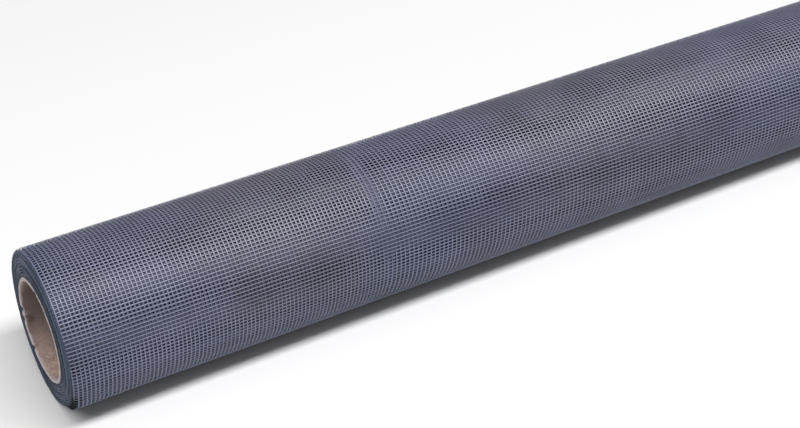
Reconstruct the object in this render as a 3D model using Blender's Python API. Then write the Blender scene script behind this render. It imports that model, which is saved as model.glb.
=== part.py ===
"""A roll of fiberglass insect screen, wound on a paperboard core.

The roll lies along X. Its near end faces -X, and the free cut edge of the cloth is low on the -Y
side. The origin is under the middle of the roll, on
the surface that it rests on, and +Z is up. All sizes are in metres, and all angles are degrees
round the roll's axis, from +Y (0) through +Z (90) and -Y (180) to -Z (270).
"""

import bpy
import bmesh
import numpy as np

# The cloth: a cut length of screen, and the radius of the roll that it makes
CLOTH_WIDTH = 1.0
CLOTH_LENGTH = 5.0
ROLL_RADIUS = 0.0318

# The paperboard core
CORE_BORE_RADIUS = 0.019
CORE_WALL = 0.0015
CORE_PROUD = 0.0012
CORE_RIM_BEVEL = 0.0003
CLEARANCE = 0.0003

# Where the last turn ends, how far it bellies out before that, and over what stretch
FREE_EDGE_ANGLE = 238.0
FREE_EDGE_RAMP = 1.5
BELLY_LIFT = 0.0006
BELLY_ANGLE = 214.0
BELLY_SPREAD = 24.0

# The roll rests on a flat that its own weight presses
BOTTOM_ANGLE = 270.0
FLAT_DEPTH = 0.00045
FLAT_EDGE_ROOM = 1.0

# How far each group of turns stands out of the two ends, from the outermost turn to the core: the
# share of the way in where the group starts, then its near and far end. A group ends in a step.
TURN_GROUPS = (
    {"starts": 0.00, "near": 0.0000, "far": 0.0000},
    {"starts": 0.07, "near": 0.0004, "far": 0.0005},
    {"starts": 0.21, "near": 0.0002, "far": 0.0009},
    {"starts": 0.34, "near": 0.0006, "far": 0.0006},
    {"starts": 0.50, "near": 0.0003, "far": 0.0008},
    {"starts": 0.63, "near": 0.0008, "far": 0.0005},
    {"starts": 0.80, "near": 0.0005, "far": 0.0008},
    {"starts": 0.92, "near": 0.0009, "far": 0.0010},
)
STEP_SHARE = 0.03

# The ends aren't quite square to the axis: the outer turn leans out furthest at this angle
END_LEAN = 0.0003
END_LEAN_ANGLE = 30.0

# Finishes
SCREEN_COLOR = (0.13, 0.14, 0.18)
SCREEN_ROUGHNESS = 0.6
KRAFT_COLOR = (0.42, 0.31, 0.22)
KRAFT_ROUGHNESS = 0.85

# Facets
ROLL_SIDES = 72
CORE_SIDES = 64
SHARP_FROM = 40.0

# Worked out from the sizes above
CORE_RADIUS = CORE_BORE_RADIUS + CORE_WALL
WOUND_BORE_RADIUS = CORE_RADIUS + CLEARANCE
CLOTH_PITCH = np.pi * (ROLL_RADIUS**2 - WOUND_BORE_RADIUS**2) / CLOTH_LENGTH


def clear_scene():
    for old in list(bpy.data.objects):
        bpy.data.objects.remove(old, do_unlink=True)


def plain_material(name, color, roughness):
    material = bpy.data.materials.new(name)
    material.use_nodes = True
    shader = material.node_tree.nodes["Principled BSDF"]
    shader.inputs["Base Color"].default_value = (*color, 1.0)
    shader.inputs["Roughness"].default_value = roughness
    shader.inputs["Metallic"].default_value = 0.0
    return material


def section(x, radius, degrees):
    """Points at each of the angles round the X axis, at that radius and that place along the axis."""
    angle = np.radians(degrees)
    points = np.empty((len(degrees), 3))
    points[:, 0] = x
    points[:, 1] = radius * np.cos(angle)
    points[:, 2] = radius * np.sin(angle)
    return points


def ring_solid(name, sections, material, place):
    """A closed ring-shaped solid: each section is joined to the next one, and the last to the first."""
    shape = bmesh.new()
    loops = [[shape.verts.new(point) for point in points] for points in sections]
    for loop, following in zip(loops, loops[1:] + loops[:1]):
        for i in range(len(loop)):
            j = (i + 1) % len(loop)
            shape.faces.new((loop[i], loop[j], following[j], following[i]))
    bmesh.ops.recalc_face_normals(shape, faces=shape.faces)
    bmesh.ops.triangulate(shape, faces=shape.faces)
    mesh = bpy.data.meshes.new(name)
    shape.to_mesh(mesh)
    shape.free()
    mesh.materials.append(material)
    mesh.shade_smooth()
    mesh.set_sharp_from_angle(angle=np.radians(SHARP_FROM))
    solid = bpy.data.objects.new(name, mesh)
    bpy.context.scene.collection.objects.link(solid)
    solid.parent = place
    return solid


def outer_radius(degrees):
    """The outermost turn: one cloth pitch of spiral in a turn, and a soft belly before the free edge."""
    turn = (degrees - FREE_EDGE_ANGLE) / 360.0
    spiral = ROLL_RADIUS - BELLY_LIFT - CLOTH_PITCH * (1.0 - turn)
    off = (degrees - 360.0 - BELLY_ANGLE) / BELLY_SPREAD
    return spiral + BELLY_LIFT * np.exp(-(off**2))


def axis_height():
    """The axis lies one radius up, less the depth of the flat."""
    return outer_radius(BOTTOM_ANGLE) - FLAT_DEPTH


def roll_angles():
    """Angles once round, from just past the free edge to the free edge, with the flat's two edges."""
    start = FREE_EDGE_ANGLE + FREE_EDGE_RAMP
    round_part = np.linspace(start, FREE_EDGE_ANGLE + 360.0, ROLL_SIDES)
    half_flat = np.degrees(np.arccos(axis_height() / outer_radius(BOTTOM_ANGLE)))
    near_flat = np.abs(round_part - BOTTOM_ANGLE) < half_flat + FLAT_EDGE_ROOM
    flat_edges = [BOTTOM_ANGLE - half_flat, BOTTOM_ANGLE, BOTTOM_ANGLE + half_flat]
    return np.sort(np.concatenate([round_part[~near_flat], flat_edges]))


def pressed_flat(points):
    """Nothing reaches below the surface that the roll rests on."""
    points[:, 2] = np.maximum(points[:, 2], -axis_height())
    return points


def roll_end(side):
    """Sections from the outermost turn in to the bore: flat groups of turns, with a step between groups."""
    degrees = roll_angles()
    outer = outer_radius(degrees)
    lean = END_LEAN * np.cos(np.radians(degrees - END_LEAN_ANGLE))
    ends = [group["starts"] - STEP_SHARE for group in TURN_GROUPS[1:]] + [1.0]
    sections = []
    for group, end in zip(TURN_GROUPS, ends):
        proud = group["near"] if side < 0 else group["far"]
        for inward in (group["starts"], end):
            radius = outer + (WOUND_BORE_RADIUS - outer) * inward
            x = side * (CLOTH_WIDTH / 2 + proud + lean * (1.0 - inward))
            sections.append(pressed_flat(section(x, radius, degrees)))
    return sections


def wound_cloth(place):
    material = plain_material("coated fiberglass screen", SCREEN_COLOR, SCREEN_ROUGHNESS)
    near = roll_end(-1)
    far = roll_end(1)
    return ring_solid("screen_roll", near[::-1] + far, material, place)


def paper_core(place):
    degrees = np.arange(CORE_SIDES) * 360.0 / CORE_SIDES
    half = CLOTH_WIDTH / 2 + CORE_PROUD
    profile = [
        (-half, CORE_BORE_RADIUS + CORE_RIM_BEVEL),
        (-half, CORE_RADIUS - CORE_RIM_BEVEL),
        (-half + CORE_RIM_BEVEL, CORE_RADIUS),
        (half - CORE_RIM_BEVEL, CORE_RADIUS),
        (half, CORE_RADIUS - CORE_RIM_BEVEL),
        (half, CORE_BORE_RADIUS + CORE_RIM_BEVEL),
        (half - CORE_RIM_BEVEL, CORE_BORE_RADIUS),
        (-half + CORE_RIM_BEVEL, CORE_BORE_RADIUS),
    ]
    material = plain_material("kraft paperboard", KRAFT_COLOR, KRAFT_ROUGHNESS)
    sections = [section(x, radius, degrees) for x, radius in profile]
    return ring_solid("core_tube", sections, material, place)


def main():
    clear_scene()
    roll_axis = bpy.data.objects.new("roll_axis", None)
    roll_axis.location = (0.0, 0.0, axis_height())
    bpy.context.scene.collection.objects.link(roll_axis)
    wound_cloth(roll_axis)
    paper_core(roll_axis)


main()
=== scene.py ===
"""Dresses a roll of fiberglass insect screen: woven turns, cut ends, paper core and a plain stage.

The roll lies along X with its near end at -X, and it rests on the floor at Z 0. Angles round the
roll are degrees from +Y (0) through +Z (90) and -Y (180) to -Z (270). The cloth is followed from
its free cut edge backwards: the outermost turn is 0 to 360 degrees back, the next one 360 to 720,
and so on in to the paper core. All sizes are in metres.
"""

import bpy
import numpy as np
from bpy.props import FloatProperty, FloatVectorProperty, IntProperty, PointerProperty
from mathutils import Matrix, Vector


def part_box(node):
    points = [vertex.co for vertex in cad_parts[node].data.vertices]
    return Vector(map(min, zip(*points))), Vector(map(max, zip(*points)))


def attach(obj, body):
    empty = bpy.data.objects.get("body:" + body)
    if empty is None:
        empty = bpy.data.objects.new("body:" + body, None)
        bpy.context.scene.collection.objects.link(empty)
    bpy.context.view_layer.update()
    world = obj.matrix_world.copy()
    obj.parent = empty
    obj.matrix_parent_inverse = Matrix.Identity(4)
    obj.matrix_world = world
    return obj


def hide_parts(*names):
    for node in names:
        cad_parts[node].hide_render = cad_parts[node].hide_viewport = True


bl_info = {
    "name": "Screen roll",
    "version": (1, 0, 0),
    "blender": (4, 5, 0),
    "location": "View3D > Sidebar > Screen roll",
    "description": "Dresses a packed roll of insect screen with woven turns, cut ends and a core",
    "category": "Add Mesh",
}

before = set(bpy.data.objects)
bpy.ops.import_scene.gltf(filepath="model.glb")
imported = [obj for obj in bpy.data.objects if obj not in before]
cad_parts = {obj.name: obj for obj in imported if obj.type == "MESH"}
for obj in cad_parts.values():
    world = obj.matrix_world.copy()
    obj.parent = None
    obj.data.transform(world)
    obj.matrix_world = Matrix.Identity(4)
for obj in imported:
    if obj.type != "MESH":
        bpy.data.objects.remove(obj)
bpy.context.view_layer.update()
CORE_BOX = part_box("core_tube")

CORE_RADIUS = float(CORE_BOX[1][2] - CORE_BOX[0][2]) / 2
AXIS_HEIGHT = float(CORE_BOX[1][2] + CORE_BOX[0][2]) / 2
CORE_HALF = float(CORE_BOX[1][0])

# Each group of turns stands out of the two ends by its own amount: the share of the way in from
# the outermost turn to the core where the group starts, then its near and far end
TURN_GROUPS = (
    {"starts": 0.00, "near": 0.0000, "far": 0.0000},
    {"starts": 0.07, "near": 0.0004, "far": 0.0005},
    {"starts": 0.21, "near": 0.0002, "far": 0.0009},
    {"starts": 0.34, "near": 0.0006, "far": 0.0006},
    {"starts": 0.50, "near": 0.0003, "far": 0.0008},
    {"starts": 0.63, "near": 0.0008, "far": 0.0005},
    {"starts": 0.80, "near": 0.0005, "far": 0.0008},
    {"starts": 0.92, "near": 0.0009, "far": 0.0010},
)
STEP_SHARE = 0.03

# Where the pale arcs, painted highlights on the turns' edges, show best in the ends: the angle and half
# the width, both in degrees
ARC_PLACES = (
    {"angle": 58.0, "width": 27.0, "strength": 1.0},
    {"angle": 228.0, "width": 24.0, "strength": 1.0},
)

# Teal tint in the ends, by share of the way in: place, half the width and strength
TEAL_TURNS = (
    {"share": 0.10, "width": 0.05, "strength": 0.5},
    {"share": 0.42, "width": 0.10, "strength": 1.0},
)

# Stretches of the roll with greyer, less blue coating: place from the near end and half the width
GREY_STRETCHES = (
    {"place": 0.092, "width": 0.033},
    {"place": 0.240, "width": 0.045},
    {"place": 0.440, "width": 0.050},
    {"place": 0.610, "width": 0.036},
    {"place": 0.850, "width": 0.060},
)

# Nicks in the core's near rim: the angle round the core, then half the width and the depth
RIM_NICKS = (
    {"angle": 350.0, "width": 2.2, "depth": 0.0007},
    {"angle": 338.0, "width": 2.6, "depth": 0.0004},
    {"angle": 305.0, "width": 2.2, "depth": 0.0006},
    {"angle": 98.0, "width": 3.0, "depth": 0.0003},
)

# The spiral rod of an end: steps in a turn, how far it is set in from the cut, in cut lengths, and how
# unevenly, by waves so many degrees long
ROD_STEPS = 60
ROD_INSET = 0.6
ROD_UNEVEN = {"length": 0.00006, "degrees": 20.0}

# The cut tips of an end: how far in they start and how far out they end, in cut lengths, how far they
# lean in degrees, and their half section in yarn widths and heights, narrower at the cut
TIPS = {"start": 1.2, "ends": (-0.3, 0.5), "lean": 0.8, "width": 0.45, "height": 0.63, "at_cut": 0.8}

# Depth of the rod's and the tips' middle, in yarn heights
END_DEPTH = 0.8

# The bake map of an end: the share of its height for the rod, the width of a side of it in its turn's
# strip, the room above the rod, how many tips lie beside each other, and the parts of a tip's cell
ROD_MAP_SHARE = 0.7
ROD_MAP_SIDE = 0.23
MAP_ROOM = 0.02
TIP_MAP_COLUMNS = 64
TIP_MAP_SIDE = {"width": 0.25, "height": 0.85}
TIP_MAP_CAP = np.array([[0.78, 0.1], [0.95, 0.1], [0.86, 0.7]])

# The spiral slab of the inner turns: steps in a turn, its inset in cut lengths, its depths in yarn heights
SLAB_STEPS = 48
SLAB_INSET = 1.5
SLAB_DEPTHS = np.array([0.25, 1.25])

# Steps along the cloth from which the wefts' places are worked out
CLOTH_SAMPLES = 20000

# Patches on the side in view where the cloth differs, most of them in painted light and shade and one
# in how the turns below slip: their middle in degrees above the middle of that side, half their width,
# and a power, which makes their top flatter
PATCHES = {
    "low": {"middle": -47.0, "half": 16.0, "power": 4},
    "low slip": {"middle": -22.0, "half": 17.0, "power": 4},
    "middle": {"middle": 12.0, "half": 20.0, "power": 4},
    "upper": {"middle": 38.0, "half": 13.0, "power": 4},
    "high": {"middle": 48.0, "half": 9.0, "power": 2},
}

# Edges on it above which the cloth differs, some in painted light and shade and some in how the turns
# below slip: their place in the same degrees, and how softly they change
EDGES = {
    "lowest": {"place": -68.0, "fade": 2.5},
    "middle": {"place": 0.0, "fade": 4.0},
    "lift": {"place": 2.0, "fade": 4.0},
    "upper": {"place": 42.0, "fade": 4.0},
    "rim": {"place": 48.5, "fade": 2.5},
}

# Steps of tone that each part of the cloth adds to a yarn, lighter or darker, and the place on the
# coating's colour ramp that a step is worth. Each yarn also has a drawn tone of its own. Most steps are
# painted light and shade: a painted shadow of the wefts on the warps where these sink, with painted
# light on the wefts there; lighter and darker patches and stretches on the side in view, by how the
# light falls there, the wefts' middle step toning down their highlight; painted shade by the near rim;
# and near-black painted shade under the loose corner.
TONE_STEP = 0.05
DRAWN_TONES = 0.5
WARP_TONES_AND_SHADES = {
    "sunk": -8.5,
    "upper": 2.5,
    "upper past band": 2.0,
    "slack past band": 6.0,
    "low": 1.3,
    "rim": -1.0,
    "corner_shade": -14.0,
}
WEFT_TONES_AND_SHADES = {
    "sunk": 1.5,
    "middle": -1.2,
    "high": 1.5,
    "band": -3.0,
    "slack past band": -2.0,
    "low": 1.3,
    "rim": -1.0,
    "corner_shade": -14.0,
}
# Painted light and shade of the turns below: paler by the free edge before the band and darker past it,
# darker below the lowest edge, in a patch well above the middle and where they lie across the holes above the
# middle, and paler in the band
BELOW_SHADES = {"slack": 5.0, "slack past band": -7.5, "lowest": -6.0, "upper": -5.0, "across": -3.5}
BELOW_BAND_LIGHT = 7.0

# Where the painted shade by the near end's rim is darkest: the angle and half the width of the stretch,
# in degrees
RIM_SHADE = {"angle": 95.0, "half": 42.0}

# The patch of painted shade in the turns below, in the degrees of the patches: before the band, and the
# change past it
BELOW_UPPER_SHADE = {"middle": 40.0, "middle_past": -5.0, "half": 15.0, "half_past": 10.0}

# Greener yarns: those up to so many degrees back from the free edge, more so in stretches of the roll at
# these places from the near end, and those in its rim
TEAL_BELOW = {"back": 108.0, "fade": 10.0, "teal": 0.5}
TEAL_STRETCHES = {"places": (0.0, 0.14), "half": 0.017, "teal": 0.9}
TEAL_RIM = {"reach": 0.008, "teal": 1.2}

# How softly the cloth changes at the faint band, at the slack stretch by the free edge, and the share
# of the gloss that both lose
BAND_FADE = 0.002
SLACK_FADE = 5.0
DULL_SHARE = 0.4

# The rim is rounded in this share of the turns, and the painted shade under the loose corner reaches
# this one
ROUNDED_SHARE = 0.125
CORNER_SHADE_SHARE = 0.16

# Where the bands of the turns below are counted from, and from where on they are lifted
BAND_ORIGIN = 0.031
BAND_LIFT_FROM = 0.075
BAND_LIFT_FADE = 0.008

# The slip of the turns below is worked out up to this many degrees from the middle of the side in
# view, and fades out of view past the second angle
STEEPEST_VIEW = 66.0
LAST_IN_VIEW = 85.0
VIEW_FADE = 4.0

# How unevenly they lie along the roll, in pitches: on a line that climbs the side in view by so many
# degrees for a metre, in a faint wave, below the middle, and by the upper rim
SLIP_LINE = {"start": -34.0, "climb": 220.0, "half": 7.0, "slip": 0.42}
SLIP_WAVE = {"speed": 31.0, "lean": 17.0, "slip": 0.04}
SLIP_LOW = {"slip": 0.3, "share": 0.7}
SLIP_RIM = 0.3

# The ragged cut of the free edge in degrees, how the warp is squeezed behind it, and how much wider
# its slack yarns are
RAGGED_CUT = 0.6
CUT_SQUEEZE = 0.01
SLACK_WIDENING = 0.3

# How the weft wanders round the roll: the degrees, the speed of the waves along the roll and their seed
WEFT_WANDER = (
    {"degrees": 0.25, "speed": 3.0, "seed": 5},
    {"degrees": 0.1, "speed": 40.0, "seed": 6},
)
SHORTEST_TIP = 0.4

# Sections of the yarns: places across them in yarn widths, their drop in the drops of the weave, and
# places across their strip of the bake map
WARP_SECTION = {"across": (-0.5, 0.0, 0.5), "drop": (1.0, 0.0, 1.0), "map": (0.05, 0.5, 0.95)}
WEFT_SECTION = {
    "across": (-0.5, -0.18, 0.18, 0.5),
    "drop": (1.0, 0.0, 0.0, 1.0),
    "map": (0.05, 0.35, 0.65, 0.95),
}
FLAT_SECTION = np.array([-0.5, 0.5])
FLAT_MAP = FLAT_SECTION * 0.8 + 0.5

# The turns below. Their warp slips only away from the ends, past this share of half the width. A weft
# has points evenly along it and more at the band's edges, which are given in the band's half widths. It
# lies a few crimps deeper and has a shorter tip, and its slip is worked out in rounds.
WARP_FIXED_SHARE = 0.025
BELOW_WEFT_POINTS = 41
BAND_EDGES = np.array([-1.5, -1.1, -0.7, 0.7, 1.1, 1.5])
BELOW_WEFT_CRIMPS = 3
BELOW_TIP = 0.7
SLIP_ROUNDS = 4

# A near-black sheet of painted shade under the corner: its depths and start, half its width in spreads
# of that shade, the points across it, and its length in its reaches
SHADE_SHEET_DEPTHS = np.array([0.00035, 0.0019])
SHADE_SHEET_START = 0.0001
SHADE_SHEET_HALF = 0.75
SHADE_SHEET_POINTS = 15
SHADE_SHEET_LENGTH = 3.0

# The pale arcs of an end, painted highlights on the turns' edges: turns from one to the next, how far
# they sway, their middle and height, how uneven they are from turn to turn and round the end, and how
# they show away from their places
ARC_TURNS = 3.1
ARC_SWAY = 1.3
ARC_TONE = {"middle": 0.45, "height": 0.8, "turns": 0.4, "round": 0.45}
FAINT_ARCS = 0.12

# The side of an end where the teal tint shows best, in degrees, its share elsewhere, and its clouds
TEAL_SIDE = {"angle": 150.0, "half": 60.0, "elsewhere": 0.25}
TEAL_CLOUDS = {"middle": 0.8, "height": 0.3}

# The core's near end: where its paper is frayed furthest in, with the least share elsewhere and how
# uneven it is, the painted shade inside its bore, and how dark the nicks and the tear are
FRAYING = {"angle": 58.0, "least": 0.15, "uneven": 0.4}
LEAST_FRAYED = 0.0001
BORE_SHADE = {"angle": 350.0, "half": 50.0, "reach": 0.09}
NICK_DARKNESS = 0.7
TEAR_DARKNESS = 0.8

# Places of the core's points along it, as shares of half its length: closer together by the rims of the
# bore, evenly in its middle, and four outside. Facets that meet at a larger angle have a sharp edge, and
# each stretch of the section is given some more room in the bake map.
BORE_PLACES = 1.0 - 0.2 * np.linspace(0.0, 1.0, 22) ** 2.5
BORE_MIDDLE = np.linspace(0.7, -0.7, 9)
OUTSIDE_PLACES = (-1.0, -0.99, 0.99, 1.0)
SHARP_FROM = 40.0
CORE_MAP_ROOM = 0.002

# Cloudy tone of the finishes: waves for a metre in the coarse and in the fine noise
MOTTLES = {
    "yarn": (45.0, 900.0),
    "yarn patches": (16.0, 70.0),
    "end": (150.0, 900.0),
    "kraft": (110.0, 1100.0),
    "kraft clouds": (60.0, 240.0),
    "fibres": (500.0, 3000.0),
}

# How light the coating is along its ramp, from the darkest tone to the palest: place and factor
OUTER_STOPS = ((0.0, 0.10), (0.3, 0.82), (0.7, 1.18), (1.0, 1.6))
BELOW_STOPS = ((0.0, 0.2), (0.3, 0.8), (0.7, 1.1), (1.0, 1.5))


def length_setting(name, description, default):
    return FloatProperty(name=name, description=description, default=default, unit="LENGTH")


def angle_setting(name, description, degrees):
    return FloatProperty(name=name, description=description, default=np.radians(degrees), subtype="ANGLE")


def share_setting(name, description, default):
    return FloatProperty(name=name, description=description, default=default, subtype="FACTOR")


def color_setting(name, description, default):
    return FloatVectorProperty(name=name, description=description, default=default, subtype="COLOR")


def place_setting(name, description, default):
    return FloatVectorProperty(name=name, description=description, default=default, subtype="TRANSLATION")


class RollSizes(bpy.types.PropertyGroup):
    """The wound form, in the same sizes as its solid"""

    cloth_width: length_setting("Cloth width", "Length of the roll", 1.0)
    cloth_length: length_setting("Cloth length", "Length of cloth on the core", 5.0)
    roll_radius: length_setting("Roll radius", "Radius at the fullest place", 0.0318)
    clearance: length_setting("Clearance", "Core to the first turn", 0.00002)
    free_edge_angle: angle_setting("Free edge", "Place of the free cut edge", 238.0)
    belly_lift: length_setting("Belly lift", "How far the last turn stands off", 0.0006)
    belly_back: angle_setting("Belly place", "Back from the free edge", 24.0)
    belly_spread: angle_setting("Belly spread", "Half the belly's width", 24.0)
    flat_depth: length_setting("Flat depth", "How far the roll is pressed flat", 0.00045)
    end_lean: length_setting("End lean", "How far the ends lean", 0.0004)
    end_lean_angle: angle_setting("End lean place", "Where they lean out", 200.0)


class NearEndSizes(bpy.types.PropertyGroup):
    """The loose corner of the cloth at the near end, with painted shade under it, and its worn rim, darkened
    as painted shade
    """

    slant_cut: angle_setting("Slant cut", "How far the corner is cut back", 9.0)
    reach: length_setting("Reach", "How far the loose corner runs in", 0.03)
    ridge: length_setting("Ridge", "Crease that stands off by the corner", 0.0008)
    ridge_back: angle_setting("Ridge place", "Back from the free edge", 25.0)
    ridge_spread: angle_setting("Ridge spread", "Half the ridge's width", 8.0)
    dent_depth: length_setting("Dent depth", "Turns pressed in beside it", 0.0015)
    dent_angle: angle_setting("Dent place", "Angle of the dent", 234.0)
    dent_spread: angle_setting("Dent spread", "Angle over which it fades", 27.0)
    dent_side: angle_setting("Dent side", "Width of its steep side", 12.0)
    rim_round: length_setting("Rim rounding", "Drop of the outer turns' rim", 0.0003)
    rim_reach: length_setting("Rim reach", "How far in the rim is rounded", 0.0012)
    # The rim's darkness is painted shade
    dark_reach: length_setting("Dark reach", "How far in the rim is dark", 0.0030)
    # Painted shade under the loose corner: a near-black sheet and darkened yarns where its hollow lies
    corner_shade_angle: angle_setting("Fold place", "Dark fold under the corner", 221.0)
    corner_shade_reach: length_setting("Fold reach", "How far in it runs", 0.0012)
    corner_shade_spread: angle_setting("Fold spread", "Half the painted shade sheet's width", 22.0)


class WeaveSizes(bpy.types.PropertyGroup):
    """The plain weave: warp yarns run round the roll, weft yarns run along it"""

    warp_pitch: length_setting("Warp pitch", "Between warp yarns before the band", 0.001625)
    wide_pitch: length_setting("Wide warp pitch", "Between warp yarns past the band", 0.001928)
    weft_pitch: length_setting("Weft pitch", "From one weft yarn to the next", 0.00142)
    loose_share: share_setting("Loose share", "Weft pitch added by the free edge", 0.12)
    loose_back: angle_setting("Loose reach", "How far back it is looser", 85.0)
    yarn_width: length_setting("Yarn width", "Width of a coated yarn", 0.00045)
    yarn_height: length_setting("Yarn height", "Thickness of a coated yarn", 0.0002)
    warp_drop: length_setting("Warp roundness", "Drop of a warp yarn's edges", 0.00015)
    weft_drop: length_setting("Weft roundness", "Drop of a weft yarn's edges", 0.00005)
    crimp: length_setting("Crimp", "Rise and fall at the crossings", 0.00006)
    sink: length_setting("Sink", "How far the warp lies below the weft", 0.00012)
    sink_back: angle_setting("Sink place", "Back from the free edge", 76.0)
    sink_spread: angle_setting("Sink spread", "Half the stretch where it does", 20.0)
    over_back: angle_setting("Weft below", "Weft lies lower before this", 50.0)
    cut_length: length_setting("Cut tips", "Length of the cut yarn tips", 0.00035)
    under_widening: share_setting("Widening below", "How much wider yarns below are", 0.5)
    under_turns: IntProperty(
        name="Turns under", description="Open turns under the outermost one", default=3
    )
    round_steps: IntProperty(
        name="Steps round", description="Steps in a turn that lies under another", default=36
    )


class BandSizes(bpy.types.PropertyGroup):
    """The faint band round the roll, where the yarns below fill the holes"""

    place: length_setting("Place", "From the near end", 0.1291)
    half_width: length_setting("Half width", "Half the band's width", 0.0023)
    widening: share_setting("Widening", "How much wider its yarns are pressed", 0.25)


class SlipSizes(bpy.types.PropertyGroup):
    """How the yarns of each turn lie over those of the next one, which makes the bands that show"""

    facing_angle: angle_setting("Facing", "Middle of the side in view", 140.3)
    band_spacing: angle_setting("Band spacing", "From one band to the next", 33.0)
    band_angle: angle_setting("Band place", "A band above the middle", 27.0)
    band_step: angle_setting("Band step", "Fall at the faint band", 6.0)
    band_lift: angle_setting("Band lift", "Rise above the middle", 8.0)
    band_slope: angle_setting("Band slope", "Fall for a metre of roll", 240.0)


class CoreSizes(bpy.types.PropertyGroup):
    """The paperboard core"""

    wall: length_setting("Wall", "Thickness of the core", 0.0015)
    rim_round: length_setting("Rim rounding", "Worn edge of the rim", 0.0003)
    askew: length_setting("Askew", "How far the near rim is set back", 0.0002)
    askew_angle: angle_setting("Askew place", "Where it is set back most", 140.0)
    fuzz: length_setting("Fuzz", "Unevenness of the torn rim", 0.00012)
    frayed: length_setting("Frayed", "How far in the paper is torn pale", 0.0018)
    rim_reach: length_setting("Rim reach", "How far in the rim is uneven", 0.004)
    nick_reach: length_setting("Nick reach", "How far in the nicks go", 0.0015)
    torn_angle: angle_setting("Torn place", "Brown tear inside the rim", 336.0)
    torn_spread: angle_setting("Torn width", "Half the tear's width", 4.5)
    torn_depth: length_setting("Torn depth", "How far in the tear is", 0.0022)
    flake_angle: angle_setting("Flake place", "Loose flake of paper", 344.0)
    flake_spread: angle_setting("Flake width", "Half the flake's width", 2.6)
    flake_lift: length_setting("Flake lift", "How far the flake stands in", 0.0010)
    sides: IntProperty(name="Sides", description="Facets round the core", default=192)


class FinishColors(bpy.types.PropertyGroup):
    """Colours of the finishes"""

    vinyl: color_setting("Vinyl", "Coating of the yarns", (0.146, 0.145, 0.209))
    vinyl_teal: color_setting("Vinyl, teal", "Its greener patches", (0.121, 0.138, 0.213))
    # A darker, shaded copy of the vinyl for the turns below: painted shade
    vinyl_below_shaded: color_setting("Vinyl, below", "Open turns underneath", (0.057, 0.062, 0.110))
    # Darker than the vinyl: painted shade of the gaps between the cut turns, and deeper still under the loose
    # corner
    vinyl_deep: color_setting("Vinyl, deep", "Cut turns in the ends", (0.040, 0.051, 0.080))
    # The pale arcs in the ends: painted highlight
    vinyl_arc_highlight: color_setting("Vinyl, cut", "Pale arcs in the ends", (0.205, 0.235, 0.325))
    end_teal: color_setting("End teal", "Teal tint in the ends", (0.110, 0.168, 0.240))
    # A lighter copy of the vinyl for the inner turns: painted light in the deep holes
    vinyl_inner_lightened: color_setting("Vinyl, inner", "Inner turns", (0.38, 0.40, 0.62))
    greyer: FloatVectorProperty(
        name="Greyer",
        description="Times the vinyl in its greyer stretches",
        default=(1.03, 1.00, 0.91),
        min=0.0,
    )
    kraft: color_setting("Kraft", "Inside of the core", (0.45, 0.33, 0.26))
    kraft_cool: color_setting("Kraft, cool", "Its purplish clouds", (0.38, 0.285, 0.27))
    kraft_rim: color_setting("Kraft rim", "Cut rim of the core", (0.48, 0.42, 0.41))
    floor: color_setting("Floor", "Floor", (0.72, 0.72, 0.72))


class StageSizes(bpy.types.PropertyGroup):
    """Camera and lights"""

    camera_place: place_setting("Camera", "Its place", (-0.6206, -0.4673, 0.4186))
    camera_heading: angle_setting("Heading", "Turned from +Y towards +X", 30.22)
    camera_dip: angle_setting("Dip", "Turned below the horizon", 35.87)
    camera_lens: FloatProperty(name="Lens", description="Focal length in millimetres", default=74.32)
    sky_strength: FloatProperty(name="Sky", description="Strength of the even light", default=0.31)
    key_power: FloatProperty(name="Key light", description="Power of the strip light", default=258.0)
    key_place: place_setting("Key place", "Middle of the strip light", (-0.2, -1.2, 2.98))
    key_length: length_setting("Key length", "Along the roll", 6.0)
    key_width: length_setting("Key width", "Across the roll", 1.0)


def settings():
    return bpy.context.scene.screen_roll


def new_piece(name, points, faces, material, smooth=True, maps=None, values=None):
    """One mesh from whole arrays.

    The faces are lists with 3 or 4 corners a row. The maps hold a place in the bake map for each
    of those corners, in the same order, and the values are one number for each point.
    """
    mesh = bpy.data.meshes.new(name)
    mesh.vertices.add(len(points))
    mesh.vertices.foreach_set("co", np.asarray(points, np.float32).ravel())
    corners = np.concatenate([face.ravel() for face in faces])
    counts = np.concatenate([np.full(len(face), face.shape[1]) for face in faces])
    mesh.loops.add(len(corners))
    mesh.loops.foreach_set("vertex_index", corners.astype(np.int32))
    mesh.polygons.add(len(counts))
    mesh.polygons.foreach_set("loop_start", (np.cumsum(counts) - counts).astype(np.int32))
    mesh.update(calc_edges=True)
    if smooth:
        mesh.shade_smooth()
    if maps is not None:
        layer = mesh.uv_layers.new(name="OFBake")
        places = np.concatenate([corner.reshape(-1, 2) for corner in maps])
        layer.data.foreach_set("uv", places.astype(np.float32).ravel())
    for key, value in (values or {}).items():
        layer = mesh.attributes.new(key, "FLOAT", "POINT")
        layer.data.foreach_set("value", np.asarray(value, np.float32).ravel())
    mesh.validate()
    mesh.materials.append(material)
    piece = bpy.data.objects.new(name, mesh)
    bpy.context.scene.collection.objects.link(piece)
    return piece


def dress(piece, node):
    """The piece rides on the roll and stands in for its solid."""
    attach(piece, "root")
    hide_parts(node)


def grid_faces(grid):
    """The four corners of each cell of a grid, taken over its last two axes."""
    first = grid[..., :-1, :-1]
    second = grid[..., 1:, :-1]
    third = grid[..., 1:, 1:]
    fourth = grid[..., :-1, 1:]
    return np.stack((first, second, third, fourth), axis=-1).reshape(-1, 4)


def grid_maps(across, along):
    """Places in the bake map for the corners of each cell of a grid."""
    across, along = np.broadcast_arrays(across, along)
    return np.stack((grid_faces(across), grid_faces(along)), axis=-1)


def point_numbers(shape):
    return np.arange(int(np.prod(shape))).reshape(shape)


def closed(grid):
    """The grid with its first column again after its last one."""
    return np.concatenate((grid, grid[..., :1]), axis=-1)


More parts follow.
